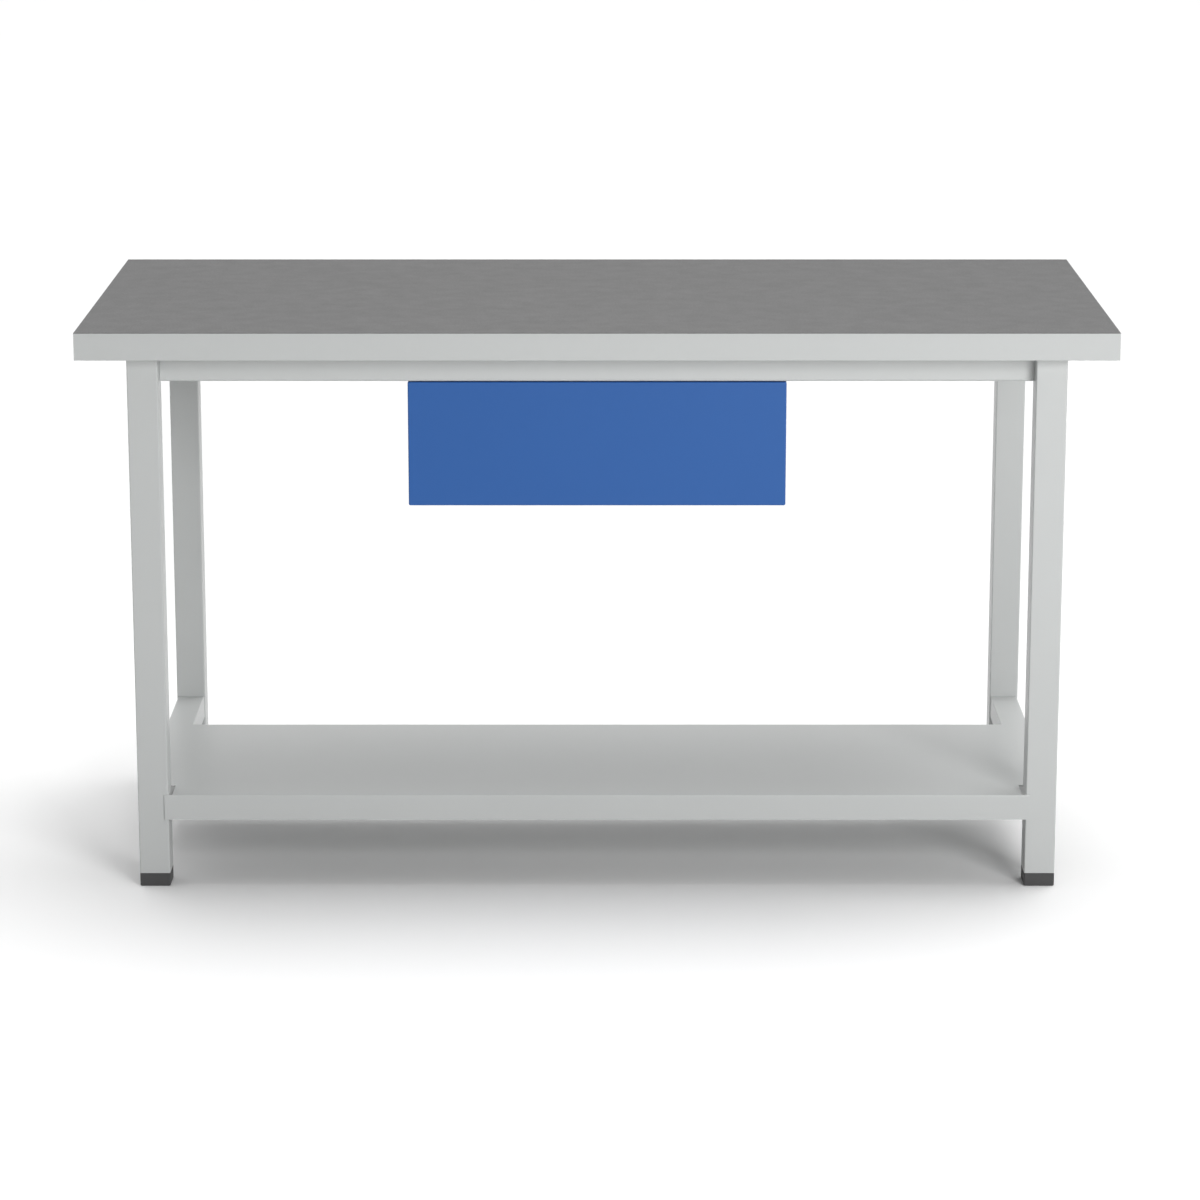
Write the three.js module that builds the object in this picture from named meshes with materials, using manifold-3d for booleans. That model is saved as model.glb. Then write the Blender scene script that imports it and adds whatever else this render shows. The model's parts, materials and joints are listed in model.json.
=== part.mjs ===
// Assembly table: a board on a square-tube steel frame, with a hung drawer and a low sheet shelf.
// Millimetres. X runs along the table, -Y is the front, Z is up. The origin is on the floor, under
// the middle of the board.
import * as THREE from 'three';
import { mergeVertices } from 'three/addons/utils/BufferGeometryUtils.js';
import Module from 'manifold-3d';

const wasm = await Module();
wasm.setup();

// Overall size
const TABLE_WIDTH = 1500;
const TABLE_DEPTH = 700;
const TABLE_HEIGHT = 840;

// Board
const BOARD_THICKNESS = 40;
const BOARD_SHEET = 0.75;
const EDGE_BAND = 2;

// Legs and feet
const SIDE_OVERHANG = 70;
const FRONT_OVERHANG = 40;
const LEG_SIZE = 45;
const TUBE_WALL = 2;
const TUBE_CORNER = 3;
const FOOT_HEIGHT = 20;
const SPIGOT_LENGTH = 30;
const SPIGOT_PLAY = 0.5;

// Rails
const TOP_RAIL_HEIGHT = 42;
const TOP_RAIL_DEPTH = 20;
const TOP_RAIL_SHEET = 2;
const TOP_RAIL_SETBACK = 25;
const LOWER_RAIL_WIDTH = 42;
const LOWER_RAIL_HEIGHT = 35;
const LOWER_RAIL_TOP = 140;

// Shelf: one folded sheet with a front and a rear lip, notched around the front legs
const SHELF_DEPTH = 400;
const SHELF_SHEET = 1.5;
const SHELF_LIP_HEIGHT = 38;
const SHELF_LIP_OVERLAP = 6;
const SHELF_NOTCH_SIDE_GAP = 6;
const SHELF_NOTCH_REAR_GAP = 5;
const SHELF_LEG_GAP = 0.5;
const SHELF_SIDE_SETBACK = 2.5;

// Drawer front: a folded pan, open along its lower rear edge as a finger grip
const FRONT_WIDTH = 551;
const FRONT_BOTTOM = 573;
const FRONT_DEPTH = 20;
const FRONT_SHEET = 1.5;
const FRONT_CORNER = 2;
const FRONT_SETBACK = 28;
const FRONT_TOP_GAP = 1.5;
const FRONT_SIDE_RETURN = 20;
const FRONT_TOP_RETURN = 12;

// Drawer carrier
const HANGER_SHEET = 1.5;
const HANGER_SPAN = 532;
const HANGER_FRONT = -256;
const HANGER_LENGTH = 500;
const HANGER_TOP_FLANGE = 25;
const HANGER_BOTTOM = 612;
const HANGER_BOTTOM_FLANGE = 16;
const HANGER_BACK_BOTTOM = 640;
const HANGER_BACK_FLANGE = 15;
const HANGER_SCREW_SPACING = 370;

// Ball slides, 45 mm high; depths count from the hanger towards the drawer
const SLIDE_HEIGHT = 45;
const SLIDE_DEPTH = 12.5;
const SLIDE_SHEET = 1.25;
const OUTER_REACH = 9.5;
const OUTER_LIP = 1.5;
const MIDDLE_START = 3;
const MIDDLE_REACH = 11;
const INNER_START = 5.75;
const OUTER_CAGE_START = 1.75;
const OUTER_CAGE_REACH = 8;
const INNER_CAGE_START = 4.75;
const INNER_CAGE_REACH = 10;
const SLIDE_CENTRE_Z = 682;
const SLIDE_FRONT = -254;
const SLIDE_LENGTH = 480;
const MIDDLE_INSET = 2;
const MIDDLE_HEIGHT = 35.5;
const INNER_HEIGHT = 25;
const CAGE_SHEET = 0.5;
const CAGE_LENGTH = 200;
const CAGE_CENTRE_Y = -10;
const BALLS_PER_ROW = 6;
const OUTER_BALL_DIAMETER = 3;
const INNER_BALL_DIAMETER = 3.5;

// Drawer box
const TUB_SHEET = 1;
const TUB_BOTTOM = 620;
const TUB_TOP = 745;
const TUB_REAR = 226;
const TUB_FLANGE = 8;
const TUB_BACK_FLANGE = 10;
const TUB_BACK_INSET = 2;
const INNER_FRONT_WIDTH = 536;
const INNER_FRONT_BOTTOM = 610;
const INNER_FRONT_TOP = 748;

// Fasteners and buffers
const DRILL_LENGTH = 20;
const CUT_MARGIN = 1;
const HOLE_PLAY = 0.3;
const JOINT_GAP = 0.25;
const BOLT_DIAMETER = 8;
const BOLT_LENGTH = 16;
const BOLT_HEAD_WIDTH = 13;
const BOLT_HEAD_HEIGHT = 5.5;
const BOLT_FLANGE_DIAMETER = 16;
const BOLT_FLANGE_HEIGHT = 1.5;
const SCREW_CROWN_RATIO = 0.6;
const SCREW_SHOULDER_RATIO = 0.5;
const SCREW_TIP_RATIO = 0.6;
const BOARD_SCREW = { shank: 4.4, length: 22, head: 9, headHeight: 3 };
const FRONT_SCREW = { shank: 3.8, length: 10, head: 8, headHeight: 2.5 };
const FRONT_SCREW_X = 262;
const FRONT_SCREW_Z = { lower: 640, upper: 720 };
const LONG_RAIL_SCREW_X = 450;
const BUFFER_DIAMETER = 8;
const BUFFER_Z = 736;

// Curve resolution
const CORNER_STEPS = 1;
const ROUND_SIDES = 12;
const BALL_SIDES = 8;
const BALL_RINGS = 4;

// Levels and faces that follow from the sizes above
const boardUnderside = TABLE_HEIGHT - BOARD_THICKNESS;
const boardCoreBottom = boardUnderside + BOARD_SHEET;
const boardCoreTop = TABLE_HEIGHT - BOARD_SHEET;
const legOuterX = TABLE_WIDTH / 2 - SIDE_OVERHANG;
const legOuterY = TABLE_DEPTH / 2 - FRONT_OVERHANG;
const legInnerX = legOuterX - LEG_SIZE;
const legInnerY = legOuterY - LEG_SIZE;
const legCentreX = legOuterX - LEG_SIZE / 2;
const legCentreY = legOuterY - LEG_SIZE / 2;
const legLength = boardUnderside - FOOT_HEIGHT;
const topRailOuterX = legOuterX - TOP_RAIL_SETBACK;
const topRailOuterY = legOuterY - TOP_RAIL_SETBACK;
const topRailBottom = boardUnderside - TOP_RAIL_HEIGHT;
const channelMiddle = (TOP_RAIL_SHEET + TOP_RAIL_DEPTH) / 2;
const longRailLength = 2 * (legInnerX - JOINT_GAP);
const boltY = topRailOuterY - channelMiddle;
const boltZ = boardUnderside - TOP_RAIL_HEIGHT / 2;
const boltHoleRadius = BOLT_DIAMETER / 2 + HOLE_PLAY;
const shelfTop = LOWER_RAIL_TOP + SHELF_SHEET;
const frontFaceY = FRONT_SETBACK - legOuterY;
const frontRearY = frontFaceY + FRONT_DEPTH;
const frontTop = topRailBottom - FRONT_TOP_GAP;
const hangerInnerX = HANGER_SPAN / 2 - HANGER_SHEET;
const hangerCentreY = HANGER_FRONT + HANGER_LENGTH / 2;
const hangerRear = HANGER_FRONT + HANGER_LENGTH;
const hangerScrewX = (HANGER_SPAN + HANGER_TOP_FLANGE) / 2;
const slideCentreY = SLIDE_FRONT + SLIDE_LENGTH / 2;
const tubOuterX = hangerInnerX - SLIDE_DEPTH;
const innerFrontRear = frontRearY + FRONT_SHEET;
const tubInnerX = tubOuterX - TUB_SHEET;

const SIDES = [{ name: 'left', sign: -1 }, { name: 'right', sign: 1 }];
const ENDS = [{ name: 'front', sign: -1 }, { name: 'rear', sign: 1 }];

// Finishes
const finishes = {
  laminate: { color: 0x858585, roughness: 0.6, metalness: 0 },
  chipboard: { color: 0xb08d60, roughness: 0.9, metalness: 0 },
  backing: { color: 0xa9aaa8, roughness: 0.7, metalness: 0 },
  edging: { color: 0xc8cac9, roughness: 0.5, metalness: 0 },
  greyCoat: { color: 0xc6c8c7, roughness: 0.5, metalness: 0 },
  blueCoat: { color: 0x3c67a7, roughness: 0.45, metalness: 0 },
  zinc: { color: 0xb4b8bc, roughness: 0.35, metalness: 1 },
  footPlastic: { color: 0x4a4a4a, roughness: 0.7, metalness: 0 },
  rubber: { color: 0x2a2a2a, roughness: 0.85, metalness: 0 },
};

const table = new THREE.Group();

function place(name, geometry, finish, x = 0, y = 0, z = 0, turn = 0) {
  const mesh = new THREE.Mesh(geometry, new THREE.MeshStandardMaterial(finishes[finish]));
  mesh.name = name;
  mesh.position.set(x, y, z);
  mesh.rotation.z = turn;
  table.add(mesh);
}

// Joining and cutting of closed shapes

function solidOf(geometry) {
  const bare = geometry.index ? geometry.toNonIndexed() : geometry.clone();
  bare.deleteAttribute('normal');
  bare.deleteAttribute('uv');
  const merged = mergeVertices(bare);
  const corners = merged.index.array;
  const triangles = [];
  for (let i = 0; i < corners.length; i += 3) {
    const [a, b, c] = [corners[i], corners[i + 1], corners[i + 2]];
    if (a !== b && b !== c && c !== a) {
      triangles.push(a, b, c);
    }
  }
  return new wasm.Manifold(new wasm.Mesh({
    numProp: 3,
    vertProperties: new Float32Array(merged.attributes.position.array),
    triVerts: new Uint32Array(triangles),
  }));
}

function geometryOf(solid) {
  const mesh = solid.getMesh();
  const indexed = new THREE.BufferGeometry();
  indexed.setAttribute('position', new THREE.BufferAttribute(mesh.vertProperties, 3));
  indexed.setIndex(new THREE.BufferAttribute(mesh.triVerts, 1));
  const geometry = indexed.toNonIndexed();
  geometry.computeVertexNormals();
  return geometry;
}

function join(shapes) {
  return geometryOf(shapes.map(solidOf).reduce((whole, shape) => whole.add(shape)));
}

function cut(shape, tools) {
  return geometryOf(tools.map(solidOf).reduce((rest, tool) => rest.subtract(tool), solidOf(shape)));
}

// Basic shapes

function block(low, high) {
  const size = high.map((value, axis) => value - low[axis]);
  const middle = high.map((value, axis) => (value + low[axis]) / 2);
  return new THREE.BoxGeometry(...size).translate(...middle);
}

// The same block on the other side of the table
function mirroredInX(shape) {
  const { min, max } = new THREE.Box3().setFromBufferAttribute(shape.attributes.position);
  return block([-max.x, min.y, min.z], [-min.x, max.y, max.z]);
}

function roundedRectangle(width, height, radius) {
  const [x, y] = [width / 2 - radius, height / 2 - radius];
  const shape = new THREE.Shape();
  shape.absarc(x, y, radius, 0, Math.PI / 2);
  shape.absarc(-x, y, radius, Math.PI / 2, Math.PI);
  shape.absarc(-x, -y, radius, Math.PI, 1.5 * Math.PI);
  shape.absarc(x, -y, radius, 1.5 * Math.PI, 2 * Math.PI);
  return shape;
}

function tubeSection(width, height) {
  const section = roundedRectangle(width, height, TUBE_CORNER);
  const [boreWidth, boreHeight] = [width - 2 * TUBE_WALL, height - 2 * TUBE_WALL];
  section.holes.push(roundedRectangle(boreWidth, boreHeight, TUBE_CORNER - TUBE_WALL));
  return section;
}

// The section of a folded sheet: the path is one face, and the sheet lies to the left of it
function foldedSheet(path, thickness) {
  const points = path.map(([x, y]) => new THREE.Vector2(x, y));
  const leftNormals = points.slice(1).map((point, i) => {
    const along = point.clone().sub(points[i]).normalize();
    return new THREE.Vector2(-along.y, along.x);
  });
  const otherFace = points.map((point, i) => {
    const before = leftNormals[Math.max(i - 1, 0)];
    const after = leftNormals[Math.min(i, leftNormals.length - 1)];
    const reach = thickness / (1 + before.dot(after));
    return before.clone().add(after).multiplyScalar(reach).add(point);
  });
  return new THREE.Shape([...points, ...otherFace.reverse()]);
}

// A section drawn in XY, carried along Z, with its middle at zero
function extrude(section, length) {
  const options = { depth: length, bevelEnabled: false, curveSegments: CORNER_STEPS };
  return new THREE.ExtrudeGeometry(section, options).translate(0, 0, -length / 2);
}

// A section drawn in YZ, carried along X
function extrudeAlongX(section, length) {
  const turned = new THREE.Matrix4().set(0, 0, 1, 0, 1, 0, 0, 0, 0, 1, 0, 0, 0, 0, 0, 1);
  return extrude(section, length).applyMatrix4(turned);
}

// A section drawn in XZ, carried along Y
function extrudeAlongY(section, length) {
  const turned = new THREE.Matrix4().set(1, 0, 0, 0, 0, 0, -1, 0, 0, 1, 0, 0, 0, 0, 0, 1);
  return extrude(section, length).applyMatrix4(turned);
}

function rod(diameter, length) {
  const radius = diameter / 2;
  return new THREE.CylinderGeometry(radius, radius, length, ROUND_SIDES).rotateX(Math.PI / 2);
}

// Drills that pass through one sheet, with their middle at the point given

function drillAlongX(radius, x, y, z) {
  return rod(2 * radius, DRILL_LENGTH).rotateY(Math.PI / 2).translate(x, y, z);
}

function drillAlongY(radius, x, y, z) {
  return rod(2 * radius, DRILL_LENGTH).rotateX(Math.PI / 2).translate(x, y, z);
}

function drillAlongZ(radius, x, y, z) {
  return rod(2 * radius, DRILL_LENGTH).translate(x, y, z);
}

// Fasteners: the head's seat is at zero and the shank points along +Z

function panHeadScrew({ shank, length, head, headHeight }) {
  const headRadius = head / 2;
  const shankRadius = shank / 2;
  const profile = [
    [0, -headHeight],
    [headRadius * SCREW_CROWN_RATIO, -headHeight],
    [headRadius, -headHeight * SCREW_SHOULDER_RATIO],
    [headRadius, 0],
    [shankRadius, 0],
    [shankRadius, length - shank * SCREW_TIP_RATIO],
    [0, length],
  ].map(([radius, height]) => new THREE.Vector2(radius, height));
  return new THREE.LatheGeometry(profile, ROUND_SIDES).rotateX(Math.PI / 2);
}

function hexBolt() {
  const headRadius = BOLT_HEAD_WIDTH / Math.sqrt(3);
  const headTop = BOLT_FLANGE_HEIGHT + BOLT_HEAD_HEIGHT;
  const head = new THREE.CylinderGeometry(headRadius, headRadius, BOLT_HEAD_HEIGHT, 6)
    .rotateX(Math.PI / 2)
    .translate(0, 0, BOLT_HEAD_HEIGHT / 2 - headTop);
  const flange = rod(BOLT_FLANGE_DIAMETER, BOLT_FLANGE_HEIGHT).translate(0, 0, -BOLT_FLANGE_HEIGHT / 2);
  const shank = rod(BOLT_DIAMETER, BOLT_LENGTH).translate(0, 0, BOLT_LENGTH / 2);
  return join([head, flange, shank]);
}

// Where the screws go up into the board: the seat of each head, and the name it gets

const railScrewSeat = boardUnderside - TOP_RAIL_SHEET;
const hangerScrewSeat = boardUnderside - HANGER_SHEET;
const sideRailScrewX = topRailOuterX - channelMiddle;
const boardScrews = [];
for (const end of ENDS) {
  for (const side of SIDES) {
    const name = `board_screw_${end.name}_${side.name}`;
    boardScrews.push({ name, x: side.sign * LONG_RAIL_SCREW_X, y: end.sign * boltY, z: railScrewSeat });
  }
}
for (const side of SIDES) {
  const name = `board_screw_middle_${side.name}`;
  boardScrews.push({ name, x: side.sign * sideRailScrewX, y: 0, z: railScrewSeat });
  for (const end of ENDS) {
    const y = hangerCentreY + end.sign * HANGER_SCREW_SPACING / 2;
    const hangerName = `hanger_screw_${end.name}_${side.name}`;
    boardScrews.push({ name: hangerName, x: side.sign * hangerScrewX, y, z: hangerScrewSeat });
  }
}
const screwHoleRadius = BOARD_SCREW.shank / 2 + HOLE_PLAY;

// Board: core, surface sheet, backing sheet and four edge bands

function screwHoles() {
  const reach = BOARD_SCREW.length + HOLE_PLAY;
  return boardScrews.map(({ x, y, z }) => rod(2 * screwHoleRadius, 2 * reach).translate(x, y, z));
}

const halfWidth = TABLE_WIDTH / 2;
const halfDepth = TABLE_DEPTH / 2;
const coreX = halfWidth - EDGE_BAND;
const coreY = halfDepth - EDGE_BAND;
const core = block([-coreX, -coreY, boardCoreBottom], [coreX, coreY, boardCoreTop]);
const backing = block([-coreX, -coreY, boardUnderside], [coreX, coreY, boardCoreBottom]);
const surface = block([-halfWidth, -halfDepth, boardCoreTop], [halfWidth, halfDepth, TABLE_HEIGHT]);
place('worktop_core', cut(core, screwHoles()), 'chipboard');
place('worktop_backing', cut(backing, screwHoles()), 'backing');
place('worktop_surface', surface, 'laminate');
for (const end of ENDS) {
  const low = [-halfWidth, -EDGE_BAND / 2, boardUnderside];
  const high = [halfWidth, EDGE_BAND / 2, boardCoreTop];
  place(`edge_band_${end.name}`, block(low, high), 'edging', 0, end.sign * (halfDepth - EDGE_BAND / 2));
}
for (const side of SIDES) {
  const low = [-EDGE_BAND / 2, -coreY, boardUnderside];
  const high = [EDGE_BAND / 2, coreY, boardCoreTop];
  place(`edge_band_${side.name}`, block(low, high), 'edging', side.sign * (halfWidth - EDGE_BAND / 2));
}

// Legs, each with a threaded hole for the bolt of its long top rail, and the feet in their lower ends

function leg(endSign, sideSign) {
  const tube = extrude(tubeSection(LEG_SIZE, LEG_SIZE), legLength).translate(0, 0, legLength / 2);
  const wallX = -sideSign * (LEG_SIZE - TUBE_WALL) / 2;
  const holeY = endSign * (boltY - legCentreY);
  return cut(tube, [drillAlongX(boltHoleRadius, wallX, holeY, boltZ - FOOT_HEIGHT)]);
}

function foot() {
  const sole = extrude(roundedRectangle(LEG_SIZE, LEG_SIZE, TUBE_CORNER), FOOT_HEIGHT);
  const spigotSize = LEG_SIZE - 2 * (TUBE_WALL + SPIGOT_PLAY);
  const spigotHeight = FOOT_HEIGHT + SPIGOT_LENGTH;
  const spigot = extrude(roundedRectangle(spigotSize, spigotSize, TUBE_CORNER), spigotHeight);
  return join([sole.translate(0, 0, FOOT_HEIGHT / 2), spigot.translate(0, 0, spigotHeight / 2)]);
}

for (const end of ENDS) {
  for (const side of SIDES) {
    const [x, y] = [side.sign * legCentreX, end.sign * legCentreY];
    place(`leg_${end.name}_${side.name}`, leg(end.sign, side.sign), 'greyCoat', x, y, FOOT_HEIGHT);
    place(`foot_${end.name}_${side.name}`, foot(), 'footPlastic', x, y, 0);
  }
}

// Top rails: channels open towards the middle of the table, drawn with their outer top edge at zero

function topRail(length, endWall, screwOffsets) {
  const endX = length / 2;
  const pocketX = endX - endWall;
  const bar = block([-endX, 0, -TOP_RAIL_HEIGHT], [endX, TOP_RAIL_DEPTH, 0]);
  const pocket = block(
    [-pocketX, TOP_RAIL_SHEET, TOP_RAIL_SHEET - TOP_RAIL_HEIGHT],
    [pocketX, 2 * TOP_RAIL_DEPTH, -TOP_RAIL_SHEET],
  );
  const holes = screwOffsets.map((x) => drillAlongZ(screwHoleRadius, x, channelMiddle, 0));
  return cut(bar, [pocket, ...holes]);
}

function boltedTopRail() {
  const rail = topRail(longRailLength, TOP_RAIL_SHEET, [-LONG_RAIL_SCREW_X, LONG_RAIL_SCREW_X]);
  const boltHoles = SIDES.map(({ sign }) => {
    const endX = sign * longRailLength / 2;
    return drillAlongX(boltHoleRadius, endX, channelMiddle, -TOP_RAIL_HEIGHT / 2);
  });
  return cut(rail, boltHoles);
}

place('top_rail_front', boltedTopRail(), 'greyCoat', 0, -topRailOuterY, boardUnderside);
place('top_rail_rear', boltedTopRail(), 'greyCoat', 0, topRailOuterY, boardUnderside, Math.PI);
for (const side of SIDES) {
  const turn = side.sign * Math.PI / 2;
  const rail = topRail(2 * legInnerY, -TOP_RAIL_SHEET, [0]);
  place(`top_rail_${side.name}`, rail, 'greyCoat', side.sign * topRailOuterX, 0, boardUnderside, turn);
}
for (const end of ENDS) {
  for (const side of SIDES) {
    const bolt = hexBolt().rotateY(side.sign * Math.PI / 2);
    const seatX = side.sign * (longRailLength / 2 - TOP_RAIL_SHEET);
    place(`rail_bolt_${end.name}_${side.name}`, bolt, 'zinc', seatX, end.sign * boltY, boltZ);
  }
}
for (const { name, x, y, z } of boardScrews) {
  place(name, panHeadScrew(BOARD_SCREW), 'zinc', x, y, z);
}

// Lower side rails and the shelf that lies on them

for (const side of SIDES) {
  const rail = extrudeAlongY(tubeSection(LOWER_RAIL_WIDTH, LOWER_RAIL_HEIGHT), 2 * legInnerY);
  const z = LOWER_RAIL_TOP - LOWER_RAIL_HEIGHT / 2;
  place(`lower_rail_${side.name}`, rail, 'greyCoat', side.sign * legCentreX, 0, z);
}

function shelf() {
  const lipInnerY = -legOuterY - SHELF_LEG_GAP;
  const front = lipInnerY - SHELF_SHEET;
  const rear = front + SHELF_DEPTH;
  const lipBottom = shelfTop - SHELF_LIP_HEIGHT;
  const lowerRailOuterX = legCentreX + LOWER_RAIL_WIDTH / 2;
  const shelfSideX = lowerRailOuterX - SHELF_SIDE_SETBACK;
  const path = [[rear, lipBottom], [rear, shelfTop], [front, shelfTop], [front, lipBottom]];
  const sheet = extrudeAlongX(foldedSheet(path, SHELF_SHEET), 2 * shelfSideX);
  const [below, above] = [lipBottom - CUT_MARGIN, shelfTop + CUT_MARGIN];
  const notchX = legInnerX - SHELF_NOTCH_SIDE_GAP;
  const notchRear = SHELF_NOTCH_REAR_GAP - legInnerY;
  const frontLipX = legInnerX + SHELF_LIP_OVERLAP;
  const rearLipX = lowerRailOuterX - LOWER_RAIL_WIDTH - SHELF_SIDE_SETBACK;
  const cutsOnTheRight = [
    block([notchX, lipInnerY, below], [legOuterX, notchRear, above]),
    block([frontLipX, front - CUT_MARGIN, below], [legOuterX, notchRear, above]),
    block([rearLipX, rear - 2 * SHELF_SHEET, below], [legOuterX, rear + CUT_MARGIN, LOWER_RAIL_TOP]),
  ];
  const cutsOnTheLeft = cutsOnTheRight.map(mirroredInX);
  return cut(sheet, [...cutsOnTheRight, ...cutsOnTheLeft]);
}

place('shelf', shelf(), 'greyCoat');

// Drawer carrier: two hangers under the board and a panel across their rear ends

function hanger() {
  const outerX = -HANGER_SPAN / 2;
  const path = [
    [outerX - HANGER_TOP_FLANGE, hangerScrewSeat],
    [outerX, hangerScrewSeat],
    [outerX, HANGER_BOTTOM],
    [outerX + HANGER_BOTTOM_FLANGE, HANGER_BOTTOM],
  ];
  const sheet = extrudeAlongY(foldedSheet(path, HANGER_SHEET), HANGER_LENGTH);
  const holes = ENDS.map(({ sign }) => {
    const y = sign * HANGER_SCREW_SPACING / 2;
    return drillAlongZ(screwHoleRadius, -hangerScrewX, y, boardUnderside);
  });
  return cut(sheet, holes);
}

function hangerBack() {
  const path = [
    [hangerRear, HANGER_BACK_BOTTOM],
    [hangerRear, hangerScrewSeat],
    [hangerRear + HANGER_BACK_FLANGE, hangerScrewSeat],
  ];
  return extrudeAlongX(foldedSheet(path, HANGER_SHEET), 2 * hangerInnerX);
}

for (const side of SIDES) {
  const turn = side.sign > 0 ? Math.PI : 0;
  place(`drawer_hanger_${side.name}`, hanger(), 'greyCoat', 0, hangerCentreY, 0, turn);
}
place('drawer_hanger_back', hangerBack(), 'greyCoat');

// Ball slides, drawn on the left: X counts from the hanger towards the drawer, Z from the slide's middle

function outerMember() {
  const half = SLIDE_HEIGHT / 2;
  const lipEnd = half - SLIDE_SHEET - OUTER_LIP;
  const path = [
    [OUTER_REACH, lipEnd],
    [OUTER_REACH, half],
    [0, half],
    [0, -half],
    [OUTER_REACH, -half],
    [OUTER_REACH, -lipEnd],
  ];
  return extrudeAlongY(foldedSheet(path, SLIDE_SHEET), SLIDE_LENGTH);
}

function middleMember() {
  const half = MIDDLE_HEIGHT / 2;
  const path = [
    [MIDDLE_REACH, half],
    [MIDDLE_START, half],
    [MIDDLE_START, -half],
    [MIDDLE_REACH, -half],
  ];
  return extrudeAlongY(foldedSheet(path, SLIDE_SHEET), SLIDE_LENGTH - 2 * MIDDLE_INSET);
}

function innerMember() {
  const half = INNER_HEIGHT / 2;
  const path = [
    [INNER_START, -half],
    [SLIDE_DEPTH, -half],
    [SLIDE_DEPTH, half],
    [INNER_START, half],
  ];
  return extrudeAlongY(foldedSheet(path, SLIDE_SHEET), SLIDE_LENGTH);
}

function ballCage(start, reach, rowZ, ballDiameter) {
  const half = rowZ + CAGE_SHEET / 2;
  const path = [[reach, half], [start, half], [start, -half], [reach, -half]];
  const strip = extrudeAlongY(foldedSheet(path, CAGE_SHEET), CAGE_LENGTH);
  const pitch = CAGE_LENGTH / BALLS_PER_ROW;
  const ballX = (start + reach + CAGE_SHEET) / 2;
  const balls = [];
  for (let i = 0; i < BALLS_PER_ROW; i += 1) {
    const y = (i + 0.5) * pitch - CAGE_LENGTH / 2;
    for (const z of [-rowZ, rowZ]) {
      const ball = new THREE.SphereGeometry(ballDiameter / 2, BALL_SIDES, BALL_RINGS);
      balls.push(ball.translate(ballX, y, z));
    }
  }
  return join([strip, ...balls]);
}

const outerRowZ = (SLIDE_HEIGHT / 2 - SLIDE_SHEET + MIDDLE_HEIGHT / 2) / 2;
const innerRowZ = (MIDDLE_HEIGHT / 2 - SLIDE_SHEET + INNER_HEIGHT / 2) / 2;
for (const side of SIDES) {
  const turn = side.sign > 0 ? Math.PI : 0;
  const x = side.sign * hangerInnerX;
  const outerCage = ballCage(OUTER_CAGE_START, OUTER_CAGE_REACH, outerRowZ, OUTER_BALL_DIAMETER);
  const innerCage = ballCage(INNER_CAGE_START, INNER_CAGE_REACH, innerRowZ, INNER_BALL_DIAMETER);
  place(`slide_outer_${side.name}`, outerMember(), 'zinc', x, slideCentreY, SLIDE_CENTRE_Z, turn);
  place(`slide_outer_cage_${side.name}`, outerCage, 'zinc', x, CAGE_CENTRE_Y, SLIDE_CENTRE_Z, turn);
  place(`slide_middle_${side.name}`, middleMember(), 'zinc', x, slideCentreY, SLIDE_CENTRE_Z, turn);
  place(`slide_inner_cage_${side.name}`, innerCage, 'zinc', x, CAGE_CENTRE_Y, SLIDE_CENTRE_Z, turn);
  place(`slide_inner_${side.name}`, innerMember(), 'zinc', x, slideCentreY, SLIDE_CENTRE_Z, turn);
}

// Drawer front: a pan with returns at its rear, open below the inner front as a grip

function frontScrewPlaces() {
  return SIDES.flatMap((side) => Object.entries(FRONT_SCREW_Z).map(([level, z]) => (
    { name: `front_screw_${level}_${side.name}`, x: side.sign * FRONT_SCREW_X, z }
  )));
}

function frontScrewHoles() {
  const radius = FRONT_SCREW.shank / 2 + HOLE_PLAY;
  return frontScrewPlaces().map(({ x, z }) => drillAlongY(radius, x, frontRearY, z));
}

function drawerFront() {
  const height = frontTop - FRONT_BOTTOM;
  const outline = roundedRectangle(FRONT_WIDTH, height, FRONT_CORNER);
  const body = extrudeAlongY(outline, FRONT_DEPTH)
    .translate(0, (frontFaceY + frontRearY) / 2, (frontTop + FRONT_BOTTOM) / 2);
  const insideX = FRONT_WIDTH / 2 - FRONT_SHEET;
  const insideTop = frontTop - FRONT_SHEET;
  const insideBottom = FRONT_BOTTOM + FRONT_SHEET;
  const cavity = block(
    [-insideX, frontFaceY + FRONT_SHEET, insideBottom],
    [insideX, frontRearY - FRONT_SHEET, insideTop],
  );
  const windowX = insideX - FRONT_SIDE_RETURN;
  const rearWindow = block(
    [-windowX, frontRearY - 2 * FRONT_SHEET, insideBottom],
    [windowX, frontRearY + CUT_MARGIN, insideTop - FRONT_TOP_RETURN],
  );
  return cut(body, [cavity, rearWindow, ...frontScrewHoles()]);
}

function innerFront() {
  const plate = block(
    [-INNER_FRONT_WIDTH / 2, frontRearY, INNER_FRONT_BOTTOM],
    [INNER_FRONT_WIDTH / 2, innerFrontRear, INNER_FRONT_TOP],
  );
  return cut(plate, frontScrewHoles());
}

place('drawer_front', drawerFront(), 'blueCoat');
place('drawer_inner_front', innerFront(), 'greyCoat');
for (const { name, x, z } of frontScrewPlaces()) {
  place(name, panHeadScrew(FRONT_SCREW).rotateX(Math.PI / 2), 'zinc', x, innerFrontRear, z);
}

// Drawer box: a tub folded from one sheet, and the back let into it

function tub() {
  const tipX = tubOuterX + TUB_FLANGE;
  const floorTop = TUB_BOTTOM + TUB_SHEET;
  const path = [
    [tipX, TUB_TOP],
    [tubInnerX, TUB_TOP],
    [tubInnerX, floorTop],
    [-tubInnerX, floorTop],
    [-tubInnerX, TUB_TOP],
    [-tipX, TUB_TOP],
  ];
  const length = TUB_REAR - innerFrontRear;
  return extrudeAlongY(foldedSheet(path, TUB_SHEET), length)
    .translate(0, (TUB_REAR + innerFrontRear) / 2, 0);
}

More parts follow.
